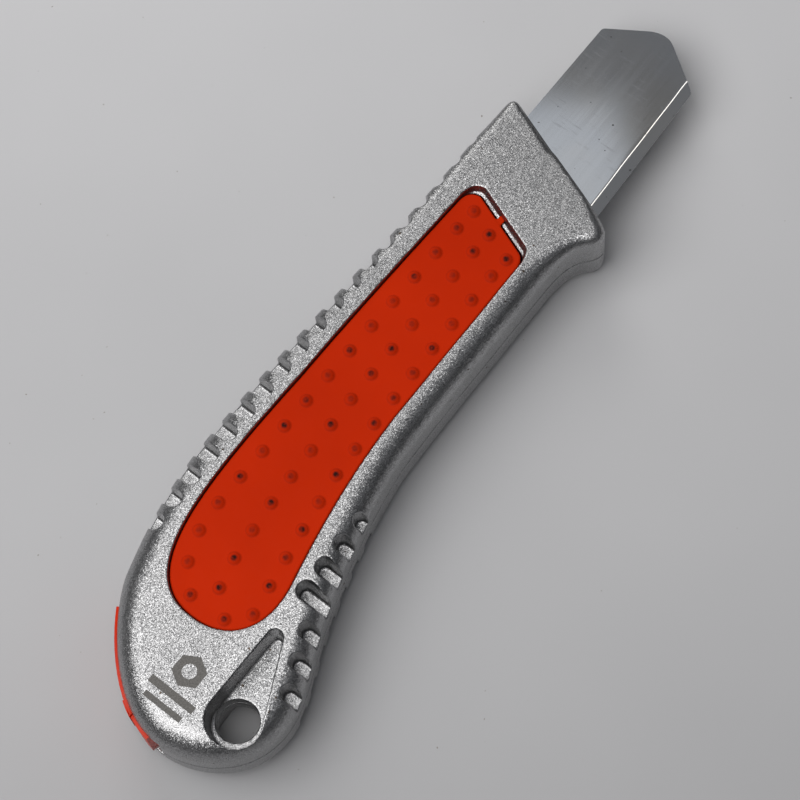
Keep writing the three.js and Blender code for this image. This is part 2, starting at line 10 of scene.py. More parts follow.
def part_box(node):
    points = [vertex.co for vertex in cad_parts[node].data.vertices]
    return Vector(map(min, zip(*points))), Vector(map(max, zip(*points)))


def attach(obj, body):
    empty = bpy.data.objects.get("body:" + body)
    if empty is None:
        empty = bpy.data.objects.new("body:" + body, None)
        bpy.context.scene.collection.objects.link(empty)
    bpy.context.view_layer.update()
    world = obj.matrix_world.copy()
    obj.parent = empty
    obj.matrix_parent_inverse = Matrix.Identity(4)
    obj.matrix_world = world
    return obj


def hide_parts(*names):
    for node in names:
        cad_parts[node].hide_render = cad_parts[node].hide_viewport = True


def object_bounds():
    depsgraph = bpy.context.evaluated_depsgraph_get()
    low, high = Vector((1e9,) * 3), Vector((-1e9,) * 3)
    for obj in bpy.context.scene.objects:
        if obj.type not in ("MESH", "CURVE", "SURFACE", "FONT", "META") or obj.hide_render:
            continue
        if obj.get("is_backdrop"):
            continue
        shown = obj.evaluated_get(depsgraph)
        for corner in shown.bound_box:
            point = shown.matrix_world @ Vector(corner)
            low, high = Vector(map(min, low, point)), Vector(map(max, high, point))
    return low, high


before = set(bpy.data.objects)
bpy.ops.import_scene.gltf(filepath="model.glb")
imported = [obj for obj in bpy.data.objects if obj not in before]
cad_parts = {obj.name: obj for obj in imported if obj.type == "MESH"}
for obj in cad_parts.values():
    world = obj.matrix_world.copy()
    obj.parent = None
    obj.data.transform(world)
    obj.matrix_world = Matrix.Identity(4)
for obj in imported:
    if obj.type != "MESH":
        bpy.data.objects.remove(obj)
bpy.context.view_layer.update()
random.seed(7)

# Places are in millimetres in the blade's own frame, as in the CAD source: y = 0 is the blade's centre line
# and the blade's tip is at x = TIP_X. at() turns them into metres in the row frame.
TIP_X = 31.4
THICKNESS = 19.0
MIDDLE = THICKNESS / 2
GAP = 0.3
WEB_TOP = MIDDLE + GAP / 2 + 3.0
TOP_POCKET_FLOOR = 14
LOWER_POCKET_FLOOR = 3
LEDGE_Z = 17.4
TAB_TOP = 18.1
CAP_LOW = 4.6
CAP_HIGH = 14.4

# The handle's outer edge is rounded over by NOSE_ROUND at the nose. The other rounds are added to it further
# back. On the finger guard of the lower half the rounding is also GUARD_DROP taller than it is wide.
NOSE_ROUND = 1.1
GUARD_ROUND = 1.2
SPINE_FRONT_ROUND = 1.4
SPINE_REAR_ROUND = 3.0
BELLY_ROUND = 3.4
TAIL_ROUND = 1.0
GUARD_DROP = 3.5

BLADE_LOW, BLADE_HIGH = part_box("blade")
OFFSET = Vector((BLADE_HIGH[0] - TIP_X / 1000, (BLADE_LOW[1] + BLADE_HIGH[1]) / 2, 0))


def at(x, y, z=0.0):
    return OFFSET + Vector((x, y, z)) / 1000


# ---------------------------------------------------------------- outlines

def line(a, b, n=1):
    return [(a[0] + (b[0] - a[0]) * i / n, a[1] + (b[1] - a[1]) * i / n) for i in range(n)]


def quadratic(a, b, c, n=10):
    out = []
    for i in range(n):
        t = i / n
        u = 1 - t
        out.append(tuple(u * u * a[k] + 2 * u * t * b[k] + t * t * c[k] for k in (0, 1)))
    return out


def cubic_point(t, a, b, c, d):
    u = 1 - t
    return tuple(u ** 3 * a[k] + 3 * u * u * t * b[k] + 3 * u * t * t * c[k] + t ** 3 * d[k] for k in (0, 1))


def cubic(a, b, c, d, n=24):
    return [cubic_point(i / n, a, b, c, d) for i in range(n)]


def arc(x, y, r, start, end, n=16):
    turns = [start + (end - start) * i / n for i in range(n + 1)]
    return [(x + r * math.cos(turn), y + r * math.sin(turn)) for turn in turns]


def circle(x, y, r, n=32):
    return arc(x, y, r, 0, 2 * math.pi, n)[:-1]


TAIL = ((-127, 12.7), (-135.2, 9.5), (-148.6, -2), (-148.6, -13))


def handle_outline():
    """The handle's edge, anticlockwise from the nose's upper corner: spine, tail, belly, guard, nose."""
    p = quadratic((-2.5, 12.9), (-1.9, 15), (-4.6, 15.1), 8)
    p += line((-4.6, 15.1), (-14, 15.8), 8)
    p += cubic((-14, 15.8), (-40, 15.2), (-68, 18.4), (-95, 18.3), 60)
    p += cubic((-95, 18.3), (-107, 18.3), (-117, 15.9), TAIL[0], 26)
    p += cubic(*TAIL, 34)
    p += cubic(TAIL[3], (-148.4, -21.5), (-142, -31.1), (-131.5, -31.1), 34)
    p += cubic((-131.5, -31.1), (-125.5, -31.2), (-119, -27.2), (-112, -24.4), 26)
    p += cubic((-112, -24.4), (-102, -20.4), (-88, -16.6), (-76, -15.1), 36)
    p += cubic((-76, -15.1), (-64, -14.4), (-50, -14.4), (-33, -14.2), 30)
    p += cubic((-33, -14.2), (-25, -14), (-21.5, -14.2), (-18.6, -16.9), 18)
    p += quadratic((-18.6, -16.9), (-16, -19.4), (-13.9, -17.6), 10)
    p += quadratic((-13.9, -17.6), (-12.7, -16.2), (-11.7, -13.3), 6)
    p += line((-11.7, -13.3), (-2.5, 12.9), 16)
    return p


def grip_outline(grow, front):
    """The grip pad's edge, made larger by grow all round and by front towards the nose."""
    g, f = grow, front
    p = quadratic((-23.3 + f, 6.4 + g / 2), (-23.5 + f, 9.1 + g), (-26.5 + f / 2, 9.3 + g), 10)
    p += cubic((-26.5 + f / 2, 9.3 + g), (-40, 9.8 + g), (-58, 10.5 + g), (-75, 10.5 + g), 30)
    p += cubic((-75, 10.5 + g), (-110, 11.6 + g), (-125.4 - g, 9.5 + g), (-125.4 - g, -3.5), 50)
    p += cubic((-125.4 - g, -3.5), (-125.4 - g, -13 - g), (-118, -17 - g), (-108, -14.3 - g), 34)
    p += cubic((-108, -14.3 - g), (-96, -11.5 - g), (-84, -9.4 - g), (-70, -8.9 - g), 26)
    p += line((-70, -8.9 - g), (-31.5, -8.5 - g), 24)
    p += quadratic((-31.5, -8.5 - g), (-29 + f, -8.5 - g), (-28.3 + f, -7 - g / 2), 8)
    p += line((-28.3 + f, -7 - g / 2), (-23.3 + f, 6.4 + g / 2), 12)
    return p


def open_slot(x, inner_y, r, side):
    """A slot with a round inner end that runs out past the handle's edge, at the spine for side 1."""
    centre = inner_y + side * r
    open_end = centre + side * 30
    start = math.pi if side > 0 else 0
    corners = [(x + side * r, open_end), (x - side * r, open_end)]
    return corners + arc(x, centre, r, start, start + math.pi, 18)


def teardrop(small, small_r, big, big_r):
    along = math.atan2(small[1] - big[1], small[0] - big[0])
    lean = math.acos((big_r - small_r) / math.dist(small, big))
    return arc(*big, big_r, along + lean, along - lean + 2 * math.pi, 36) + arc(
        *small, small_r, along - lean, along + lean, 14)


def track_slot(x0, x1, half):
    return arc(x1 - half, 0, half, -math.pi / 2, math.pi / 2, 16) + arc(
        x0 + half, 0, half, math.pi / 2, 1.5 * math.pi, 16)


def smoothstep(v, low, high):
    t = min(max((v - low) / (high - low), 0), 1)
    return t * t * (3 - 2 * t)


def guard_share(x, y):
    """1 on the finger guard, fading to 0 along the belly."""
    return smoothstep(-y, 10, 16) * (1 - smoothstep(-x, 16, 32))


def edge_radius(x, y):
    """How far the handle's edge is rounded over in plan."""
    if y > 0:
        return (NOSE_ROUND + SPINE_FRONT_ROUND * smoothstep(-x, 0, 12)
                + SPINE_REAR_ROUND * smoothstep(-x, 20, 110))
    return (NOSE_ROUND + GUARD_ROUND * guard_share(x, y) + BELLY_ROUND * smoothstep(-x, 16, 32)
            + TAIL_ROUND * smoothstep(-x, 110, 134))


# ---------------------------------------------------------------- mesh tools

def new_object(name, bm):
    mesh = bpy.data.meshes.new(name)
    bm.to_mesh(mesh)
    bm.free()
    made = bpy.data.objects.new(name, mesh)
    bpy.context.collection.objects.link(made)
    return made


def tower(name, levels):
    """A solid through (outline, z) levels, lowest first. Its outlines run anticlockwise and have as many
    points as each other."""
    bm = bmesh.new()
    loops = [[bm.verts.new(at(x, y, z)) for x, y in outline] for outline, z in levels]
    n = len(loops[0])
    bm.faces.new(loops[0][::-1])
    bm.faces.new(loops[-1])
    for a, b in zip(loops, loops[1:]):
        for i in range(n):
            j = (i + 1) % n
            bm.faces.new((a[i], a[j], b[j], b[i]))
    return new_object(name, bm)


def prism(name, outline, low, high):
    return tower(name, [(outline, low), (outline, high)])


def rounded_prism(name, outline, low, high, radius, rings, upwards=True, drop=0.0):
    """A prism whose upper edge is rounded over by radius(x, y), and is drop taller than wide on the finger
    guard. upwards False turns it over about the middle."""
    n = len(outline)
    bm = bmesh.new()
    levels = [(0.0, None)] + [(1 - math.cos(i / rings * math.pi / 2), math.sin(i / rings * math.pi / 2))
                              for i in range(rings + 1)]
    loops = []
    for inset, climb in levels:
        loop = []
        for i, (x, y) in enumerate(outline):
            before = Vector(outline[i - 1])
            after = Vector(outline[(i + 1) % n])
            here = Vector((x, y))
            along = ((here - before).normalized() + (after - here).normalized()).normalized()
            r = radius(x, y)
            tall = r + drop * guard_share(x, y)
            z = low if climb is None else high - tall * (1 - climb)
            if not upwards:
                z = THICKNESS - z
            loop.append(bm.verts.new(at(x - along.y * r * inset, y + along.x * r * inset, z)))
        loops.append(loop)
    for a, b in zip(loops, loops[1:]):
        for i in range(n):
            j = (i + 1) % n
            face = (a[i], a[j], b[j], b[i])
            bm.faces.new(face if upwards else face[::-1])
    bm.faces.new(loops[0][::-1] if upwards else loops[0])
    bm.faces.new(loops[-1] if upwards else loops[-1][::-1])
    return new_object(name, bm)


def dome(name, x, y, foot, skin, height, radius, direction):
    """A low dome with steep sides and a nearly flat crown. It starts at foot, inside the plate that it is
    joined to, and rises from the plate's skin in the direction 1 or -1."""
    sides = 24
    rings = 10
    profile = [(radius, foot), (radius, skin)]
    for i in range(1, rings):
        r = radius * (1 - i / rings)
        rise = height * (1 - (r / radius) ** 3)
        profile.append((r, skin + direction * rise))
    bm = bmesh.new()
    loops = [[bm.verts.new(at(px, py, z)) for px, py in circle(x, y, r, sides)] for r, z in profile]
    crown = bm.verts.new(at(x, y, skin + direction * height))
    base = bm.verts.new(at(x, y, foot))
    for a, b in zip(loops, loops[1:]):
        for k in range(sides):
            j = (k + 1) % sides
            bm.faces.new((a[k], a[j], b[j], b[k]))
    for k in range(sides):
        j = (k + 1) % sides
        bm.faces.new((loops[-1][k], loops[-1][j], crown))
        bm.faces.new((loops[0][j], loops[0][k], base))
    if direction < 0:
        bmesh.ops.reverse_faces(bm, faces=bm.faces)
    return new_object(name, bm)


def boolean(target, tools, operation="DIFFERENCE"):
    """Cuts the tools from the target, or joins them to it, and removes them."""
    for tool in tools:
        m = target.modifiers.new("cut", "BOOLEAN")
        m.operation = operation
        m.solver = "MANIFOLD"
        m.object = tool
    settle(target)
    for tool in tools:
        bpy.data.objects.remove(tool, do_unlink=True)
    return target


def settle(o):
    """Applies every modifier on o."""
    bpy.context.view_layer.update()
    evaluated = o.evaluated_get(bpy.context.evaluated_depsgraph_get())
    mesh = bpy.data.meshes.new_from_object(evaluated)
    o.modifiers.clear()
    old = o.data
    o.data = mesh
    bpy.data.meshes.remove(old)
    return o


def soften(o, voxel, passes, keep):
    """Turns a cut solid into one smooth skin: the small roundings that a casting or a moulding has. keep is
    the share of its triangles that stay."""
    remesh = o.modifiers.new("skin", "REMESH")
    remesh.mode = "VOXEL"
    remesh.voxel_size = voxel / 1000
    smooth = o.modifiers.new("smooth", "SMOOTH")
    smooth.factor = 0.5
    smooth.iterations = passes
    thin = o.modifiers.new("thin", "DECIMATE")
    thin.ratio = keep
    settle(o)
    for face in o.data.polygons:
        face.use_smooth = True
    return o


# ---------------------------------------------------------------- materials

# The sockets of a colour Mix node are known by number: its amount, its two colours and its result.
MIX_AMOUNT = 0
MIX_FIRST = 6
MIX_SECOND = 7
MIX_RESULT = 2


def feed(tree, node, socket, value):
    """Links value to a node's input if it is a socket, or sets the input to it."""
    if isinstance(value, bpy.types.NodeSocket):
        tree.links.new(value, node.inputs[socket])
    else:
        node.inputs[socket].default_value = value


def add_node(tree, kind, inputs=(), **settings):
    made = tree.nodes.new(kind)
    for key, value in settings.items():
        setattr(made, key, value)
    for key, value in dict(inputs).items():
        feed(tree, made, key, value)
    return made


def add_mix(tree, amount, first, second, blend="MIX"):
    """Mixes two colours, each an (r, g, b) or a socket."""
    made = add_node(tree, "ShaderNodeMix", {MIX_AMOUNT: amount}, data_type="RGBA", blend_type=blend)
    for index, value in ((MIX_FIRST, first), (MIX_SECOND, second)):
        feed(tree, made, index, value if isinstance(value, bpy.types.NodeSocket) else (*value, 1))
    return made.outputs[MIX_RESULT]


class Nodes:
    """A short way to write a node material."""

    def __init__(self, name):
        self.material = bpy.data.materials.new(name)
        self.material.use_nodes = True
        self.tree = self.material.node_tree
        self.shader = self.tree.nodes["Principled BSDF"]
        self.coordinates = self.tree.nodes.new("ShaderNodeTexCoord").outputs["Object"]

    def set(self, **values):
        for key, value in values.items():
            self.shader.inputs[key.replace("_", " ")].default_value = value
        return self

    def link(self, source, name):
        self.tree.links.new(source, self.shader.inputs[name])
        return self

    def node(self, kind, inputs=(), **settings):
        return add_node(self.tree, kind, inputs, **settings)

    def noise(self, scale, detail=2.0, roughness=0.5, where=None):
        return self.node("ShaderNodeTexNoise", {"Vector": where or self.coordinates, "Scale": scale,
                                                "Detail": detail, "Roughness": roughness}).outputs["Fac"]

    def cells(self, scale):
        return self.node("ShaderNodeTexVoronoi", {"Vector": self.coordinates, "Scale": scale}, feature="F1")

    def stretch(self, x, y, z):
        made = self.node("ShaderNodeMapping", {"Vector": self.coordinates, "Scale": (x, y, z)})
        return made.outputs["Vector"]

    def vector(self, operation, first, *second, **inputs):
        """Vector maths on first and, where the operation takes one, a second vector."""
        return self.node("ShaderNodeVectorMath", {**dict(enumerate((first, *second))), **inputs},
                         operation=operation)

    def ramp(self, source, stops):
        made = self.node("ShaderNodeValToRGB", {"Fac": source})
        elements = made.color_ramp.elements
        while len(elements) < len(stops):
            elements.new(0.5)
        for element, (place, colour) in zip(elements, stops):
            element.position = place
            element.color = (*colour, 1)
        return made.outputs["Color"]

    def remap(self, source, low, high, out_low=0.0, out_high=1.0):
        return self.node("ShaderNodeMapRange", {"Value": source, "From Min": low, "From Max": high,
                                                "To Min": out_low, "To Max": out_high}).outputs["Result"]

    def mix(self, amount, a, b, blend="MIX"):
        return add_mix(self.tree, amount, a, b, blend)

    def math(self, operation, a, b):
        return self.node("ShaderNodeMath", {0: a, 1: b}, operation=operation).outputs[0]

    def bump(self, height, strength, distance, normal=None):
        inputs = {"Height": height, "Strength": strength, "Distance": distance}
        if normal:
            inputs["Normal"] = normal
        return self.node("ShaderNodeBump", inputs).outputs["Normal"]


def grey(v):
    """A grey with a trace of blue."""
    return (v, v, v * 1.01)


FLAKES_PER_METRE = 7600
FLAKE_TILT = 0.38
PAINT_GRAINS_PER_METRE = 5400


def silver_paint():
    """Sparkle paint on zinc: each flake lies at its own tilt, so fine grains flash bright or dark."""
    n = Nodes("silver_paint")
    flakes = n.cells(FLAKES_PER_METRE)
    tilt = n.vector("SUBTRACT", flakes.outputs["Color"], (0.5, 0.5, 0.5))
    tilt = n.vector("SCALE", tilt.outputs[0], Scale=FLAKE_TILT)
    normal = n.node("ShaderNodeNewGeometry").outputs["Normal"]
    tipped = n.vector("ADD", normal, tilt.outputs[0])
    tipped = n.vector("NORMALIZE", tipped.outputs[0])
    n.link(n.bump(n.noise(900, 3.0), 0.1, 0.00003, tipped.outputs[0]), "Normal")
    grain = n.noise(PAINT_GRAINS_PER_METRE, 2.0, 0.7)
    shade = n.ramp(grain, [(0.30, grey(0.17)), (0.48, grey(0.37)), (0.66, grey(0.58))])
    chips = n.remap(n.noise(700, 1.0), 0.765, 0.785)
    shade = n.mix(chips, shade, (0.09, 0.07, 0.055))
    worn = n.remap(n.noise(75, 3.0), 0.35, 0.65)
    n.link(n.mix(worn, shade, (0.88, 0.88, 0.88), "MULTIPLY"), "Base Color")
    n.link(n.remap(grain, 0.3, 0.7, 0.38, 0.28), "Roughness")
    return n.set(Metallic=1.0).material


def orange_rubber():
    """Dull rubber, cloudy in tone, darkened where the dots' vertex value is high: dirt on their crowns, and
    painted shade in a ring round their feet.
    """
    n = Nodes("orange_rubber")
    cloud = n.noise(45, 4.0)
    colour = n.ramp(cloud, [(0.3, (0.52, 0.021, 0.0010)), (0.7, (0.59, 0.025, 0.0015))])
    grime_and_shade = n.node("ShaderNodeAttribute", attribute_name="grime_and_shade").outputs["Fac"]
    spotty = n.math("MULTIPLY", grime_and_shade, n.remap(n.noise(1500, 3.0), 0.3, 0.6, 0.55, 1.0))
    # The vertex value darkens the rubber: dirt on the dots' crowns, painted shade round their feet.
    colour = n.mix(spotty, colour, (0.032, 0.008, 0.007))
    n.link(colour, "Base Color")
    n.link(n.remap(n.noise(700, 3.0), 0.3, 0.7, 0.56, 0.68), "Roughness")
    n.link(n.bump(n.noise(5000, 3.0), 0.06, 0.00002), "Normal")
    return n.set(Specular_IOR_Level=0.04).material


def orange_plastic():
    n = Nodes("orange_plastic")
    n.link(n.ramp(n.noise(80, 3.0), [(0.3, (0.55, 0.022, 0.002)), (0.7, (0.64, 0.03, 0.003))]), "Base Color")
    n.link(n.remap(n.noise(900, 2.0), 0.3, 0.7, 0.26, 0.38), "Roughness")
    n.link(n.bump(n.noise(2600, 2.0), 0.06, 0.00002), "Normal")
    return n.set(Specular_IOR_Level=0.2).material


def blade_steel():
    """Polished strip that is not quite flat, with fine rolling lines, faint scratches and small dark pits."""
    n = Nodes("blade_steel")
    lines = n.noise(1.0, 3.0, 0.6, n.stretch(50, 1500, 50))
    scratches = n.remap(n.noise(1.0, 3.0, 0.6, n.stretch(1400, 140, 500)), 0.60, 0.74)
    pits = n.remap(n.noise(900, 1.0), 0.765, 0.79)
    colour = n.ramp(n.noise(45, 3.0), [(0.3, (0.60, 0.62, 0.64)), (0.7, (0.64, 0.635, 0.62))])
    n.link(n.mix(pits, colour, (0.20, 0.19, 0.18)), "Base Color")
    rough = n.math("ADD", n.remap(lines, 0.3, 0.7, 0.06, 0.085), n.math("MULTIPLY", scratches, 0.05))
    n.link(rough, "Roughness")
    waves = n.bump(n.noise(26, 1.0, 0.4), 1.0, 0.00009)
    n.link(n.bump(lines, 0.02, 0.000003, waves), "Normal")
    return n.set(Metallic=1.0).material


def plain_metal(name, colour, rough):
    """Bare metal with lines rolled along it."""
    n = Nodes(name)
    lines = n.noise(1.0, 3.0, 0.6, n.stretch(200, 3000, 200))
    n.link(n.mix(n.remap(lines, 0.3, 0.7, 0.0, 0.35), colour, tuple(c * 0.7 for c in colour)), "Base Color")
    n.link(n.remap(lines, 0.3, 0.7, rough - 0.06, rough + 0.1), "Roughness")
    n.link(n.bump(lines, 0.08, 0.00002), "Normal")
    return n.set(Metallic=1.0).material


def black_plastic():
    n = Nodes("black_plastic")
    n.link(n.ramp(n.noise(200, 3.0), [(0.3, grey(0.018)), (0.7, grey(0.032))]), "Base Color")
    n.link(n.remap(n.noise(1200, 2.0), 0.3, 0.7, 0.45, 0.6), "Roughness")
    return n.material


def etched_grey():
    n = Nodes("etched_grey")
    colour = n.ramp(n.noise(3000, 3.0, 0.7), [(0.3, (0.10, 0.096, 0.09)), (0.7, (0.21, 0.20, 0.19))])
    n.link(colour, "Base Color")
    return n.set(Metallic=0.2, Roughness=0.75).material


def floor_paint():
    """Pale paint with a few specks, and painted light across it: darker past the tail and paler past the
    nose.
    """
    n = Nodes("floor_paint")
    tone = n.ramp(n.noise(9, 3.0), [(0.3, (0.50, 0.50, 0.51)), (0.7, (0.54, 0.54, 0.55))])
    # Painted light: the tone is multiplied down past the tail and up past the nose, a falloff of light
    # painted into the floor.
    across = n.vector("DOT_PRODUCT", n.coordinates, (0.79, 0.61, 0)).outputs["Value"]
    painted_light_falloff = n.mix(n.remap(across, -0.12, 0.12), (0.82, 0.82, 0.82), (1.24, 1.24, 1.24))
    shaded = n.mix(1.0, tone, painted_light_falloff, "MULTIPLY")
    specks = n.remap(n.noise(900, 1.0), 0.80, 0.82)
    n.link(n.mix(specks, shaded, (0.30, 0.28, 0.26)), "Base Color")
    return n.set(Roughness=0.85).material


# ---------------------------------------------------------------- castings

# The notches along the spine start shallow at the nose.
NOTCH_COUNT = 19
NOTCH_FRONT_X = -14.5
NOTCH_PITCH = 5.6
NOTCH_INNER_Y = 12.7
NOTCH_RISE = 2.3
NOTCHES = [(NOTCH_FRONT_X - NOTCH_PITCH * i,
            NOTCH_INNER_Y + NOTCH_RISE * (1 - i / (NOTCH_COUNT - 1)) ** 2) for i in range(NOTCH_COUNT)]

# The finger slots in the belly. The inner ends of the front ones are nearly level, and those of the rest
# step out towards the tail.
SLOT_COUNT = 7
LEVEL_SLOTS = 4
SLOT_FRONT_X = -90.7
SLOT_PITCH = 5.83
LEVEL_SLOT_Y = -15.6
LEVEL_SLOT_STEP = 0.15
TAIL_SLOT_Y = -21.4
TAIL_SLOT_STEP = 2.5


def slot_place(i):
    x = SLOT_FRONT_X - SLOT_PITCH * i
    if i < LEVEL_SLOTS:
        return x, LEVEL_SLOT_Y - LEVEL_SLOT_STEP * i
    return x, TAIL_SLOT_Y - TAIL_SLOT_STEP * (i - LEVEL_SLOTS)


SLOTS = [slot_place(i) for i in range(SLOT_COUNT)]

# Each cut is narrow at its floor, drafted up its walls, and rolls over at the top: (radius, depth below the
# face). The floor, at None, is the web's top.
NOTCH_RADII = ((1.6, None), (1.75, 0.8), (1.95, 0), (2.2, -1))
SLOT_RADII = ((1.35, None), (1.7, 1.3), (2.15, 0), (2.6, -1))

# The hanging hole goes right through, in the wide end of a teardrop cut down to the web.
HANG_BIG = (-136.1, -23.1)
HANG_BIG_RADIUS = 5.5
HANG_SMALL = (-119, -19.1)
HANG_SMALL_RADIUS = 1.5
HANG_DRAFT = 0.4
HANG_LIP = 0.6
HANG_HOLE = (-135.3, -22.5, 4.3)

# The screws go in through the lower face: a recess for each head, and a hole for its shank.
SCREWS = ((-15.8, -15.1), (-127, -15.1), (-141.6, -16.4))
SCREW_RECESS_RADIUS = 2.1
SCREW_RECESS_DEPTH = 2.7
SCREW_HOLE_RADIUS = 1.3

# The slider's track in the lower face, as (rear x, front x, half width), opens into the blade's channel.
TRACK = (-107, -31.5, 4.1)
TRACK_TOP = 5.6
CHANNEL_FRONT = -21
CHANNEL_HALF = 12.9
CHANNEL_WALL = 0.5
CHANNEL_LOW = 4.6
CHANNEL_HIGH = 10.95
MOUTH_HALF = 0.65

LATCH_PIVOT = (-145.2, -14.3)
LATCH_ROOM = 1.8
LATCH_WINDOW = (-14, -9.9)

# The seat of the end cap: the stretch of the tail's curve that it takes, and how far it cuts out and in.
CAP_SEAT = (0.18, 1, 3, 2.5)

# The grip pad stands PAD_GAP clear of its pocket. The top pocket's mouth is wider in front, over a ledge.
PAD_GAP = 0.4
LEDGE_FRONT = 1.7

PAST_NOSE = 5
PAST_TAIL = -160
ABOVE = THICKNESS + 1
BELOW = -1

CASTING_VOXEL = 0.22


def tail_band(t0, t1, outer, inner, n=24):
    """A strip that follows the tail's edge."""
    out, back = [], []
    for i in range(n + 1):
        t = t0 + (t1 - t0) * i / n
        u = 1 - t
        p = cubic_point(t, *TAIL)
        d = [3 * u * u * (TAIL[1][k] - TAIL[0][k]) + 6 * u * t * (TAIL[2][k] - TAIL[1][k])
             + 3 * t * t * (TAIL[3][k] - TAIL[2][k]) for k in (0, 1)]
        size = math.hypot(*d)
        nx, ny = d[1] / size, -d[0] / size
        out.append((p[0] + nx * outer, p[1] + ny * outer))
        back.insert(0, (p[0] - nx * inner, p[1] - ny * inner))
    return out + back


def rectangle(x0, x1, y0, y1):
    return [(x0, y0), (x1, y0), (x1, y1), (x0, y1)]


def casting(name, upwards):
    """One half of the handle, cut as the CAD half is and then given soft cast edges."""
    def level(z):
        return z if upwards else THICKNESS - z

    def cutter(outline, low, high):
        a, b = sorted((level(low), level(high)))
        return prism("cutter", outline, a, b)

    def drafted(outlines):
        levels = [(outline, level(z)) for outline, z in outlines]
        return tower("cutter", levels if upwards else levels[::-1])

    def open_cut(x, inner_y, side, radii):
        return drafted([(open_slot(x, inner_y, r, side), WEB_TOP if depth is None else THICKNESS - depth)
                        for r, depth in radii])

    def hang_cut():
        levels = ((-HANG_DRAFT, WEB_TOP), (0, THICKNESS - HANG_LIP), (HANG_DRAFT, ABOVE))
        return drafted([(teardrop(HANG_SMALL, HANG_SMALL_RADIUS + d, HANG_BIG, HANG_BIG_RADIUS + d), z)
                        for d, z in levels])

    def pocket_cuts():
        """The grip's pocket, and the flare of its mouth."""
        floor = TOP_POCKET_FLOOR if upwards else THICKNESS - LOWER_POCKET_FLOOR
        front = LEDGE_FRONT if upwards else PAD_GAP
        mouth = [(grip_outline(0.35, front * 0.65), LEDGE_Z),
                 (grip_outline(0.45, front), THICKNESS - 0.3),
                 (grip_outline(0.6, front + 0.3), ABOVE)]
        return [cutter(grip_outline(PAD_GAP, PAD_GAP), floor, ABOVE), drafted(mouth)]

    def shared_cuts():
        """What both halves share: the blade's way through, and the seats of the cap and its latch."""
        latch_x, latch_y = LATCH_PIVOT
        cap_low, cap_high = CAP_LOW - GAP, CAP_HIGH + GAP
        mouth = rectangle(CHANNEL_FRONT, PAST_NOSE, -CHANNEL_HALF, CHANNEL_HALF)
        channel = rectangle(PAST_TAIL, CHANNEL_FRONT, -CHANNEL_HALF, CHANNEL_HALF)
        window = rectangle(PAST_TAIL, latch_x, *LATCH_WINDOW)
        return [prism("cutter", mouth, MIDDLE - MOUTH_HALF, MIDDLE + MOUTH_HALF),
                prism("cutter", channel, CHANNEL_LOW, CHANNEL_HIGH),
                prism("cutter", tail_band(*CAP_SEAT), cap_low, cap_high),
                prism("cutter", window, cap_low, cap_high),
                prism("cutter", circle(latch_x, latch_y, LATCH_ROOM), cap_low, cap_high)]

    def lower_cuts():
        cuts = [prism("cutter", track_slot(*TRACK), BELOW, TRACK_TOP)]
        for x, y in SCREWS:
            cuts.append(prism("cutter", circle(x, y, SCREW_RECESS_RADIUS), BELOW, SCREW_RECESS_DEPTH))
            cuts.append(prism("cutter", circle(x, y, SCREW_HOLE_RADIUS), BELOW, MIDDLE))
        return cuts

    half = rounded_prism(name, handle_outline(), MIDDLE + GAP / 2, THICKNESS, edge_radius, rings=14,
                         upwards=upwards, drop=0.0 if upwards else GUARD_DROP)
    innermost = 0 if upwards else CHANNEL_HALF + CHANNEL_WALL
    cutters = [open_cut(x, max(y, innermost), 1, NOTCH_RADII) for x, y in NOTCHES]
    cutters += [open_cut(x, y, -1, SLOT_RADII) for x, y in SLOTS]
    cutters += [hang_cut(), cutter(circle(*HANG_HOLE, 48), 0, ABOVE)]
    cutters += pocket_cuts() + shared_cuts()
    if not upwards:
        cutters += lower_cuts()
    boolean(half, cutters)
    soften(half, CASTING_VOXEL, passes=2, keep=0.3)
    return half


# ---------------------------------------------------------------- grip pads

def spaced(points, count):
    """count points evenly spaced along a smooth curve through the given points."""
    p = [Vector(q) for q in points]
    dense = []
    for i in range(len(p) - 1):
        a = p[max(i - 1, 0)]
        b, c = p[i], p[i + 1]
        d = p[min(i + 2, len(p) - 1)]
        for k in range(40):
            t = k / 40
            dense.append(0.5 * (2 * b + (c - a) * t + (2 * a - 5 * b + 4 * c - d) * t * t
                                + (3 * b - a - 3 * c + d) * t ** 3))
    dense.append(p[-1])
    far = [0.0]
    for a, b in zip(dense, dense[1:]):
        far.append(far[-1] + (b - a).length)
    out = []
    for i in range(count):
        want = far[-1] * i / (count - 1)
        k = next(j for j in range(1, len(far)) if far[j] >= want - 1e-9)
        t = (want - far[k - 1]) / (far[k] - far[k - 1])
        out.append(tuple(dense[k - 1].lerp(dense[k], t)))
    return out


SPINE_DOTS = spaced([(-31.7, 6), (-71, 6.6), (-104.6, 6.9), (-111.3, 6.3), (-117.8, 3.9), (-122.6, -0.8)],
                    15)
MIDDLE_DOTS = spaced([(-33.7, 0.3), (-66, 0.1), (-92, -0.9), (-105, -1.9), (-117.9, -4.2), (-122.3, -9.1)],
                     15)
BELLY_DOTS = spaced([(-35.6, -5.8), (-54.7, -6.1), (-80, -7.2), (-92.9, -8.5), (-118.2, -12.8)], 14)
FRONT_DOTS = [(-26.7, 5.6), (-28.9, 0), (-31, -6)]
# The lower pad has no middle row, because the slider's track runs there, but a few dots behind the track.
LOWER_DOTS = [(x, y + 0.9) for x, y in SPINE_DOTS[:13]] + [(x, y - 0.5) for x, y in BELLY_DOTS]
LOWER_DOTS += [(-117.6, 3.9), (-122, -0.8), (-112.6, -2.6), (-117.9, -4.4), (-122, -8.9)]
PAD_RECESS = 0.8
TOP_PAD_ROUND = 0.3
LOWER_PAD_ROUND = 0.45
PAD_TAB = [(-27, -0.3), (-24.5, -0.6), (-24, 0.8), (-26.5, 1.1)]
DOME_HEIGHT = 0.55
DOME_RADIUS = 1.3
PAD_VOXEL = 0.2


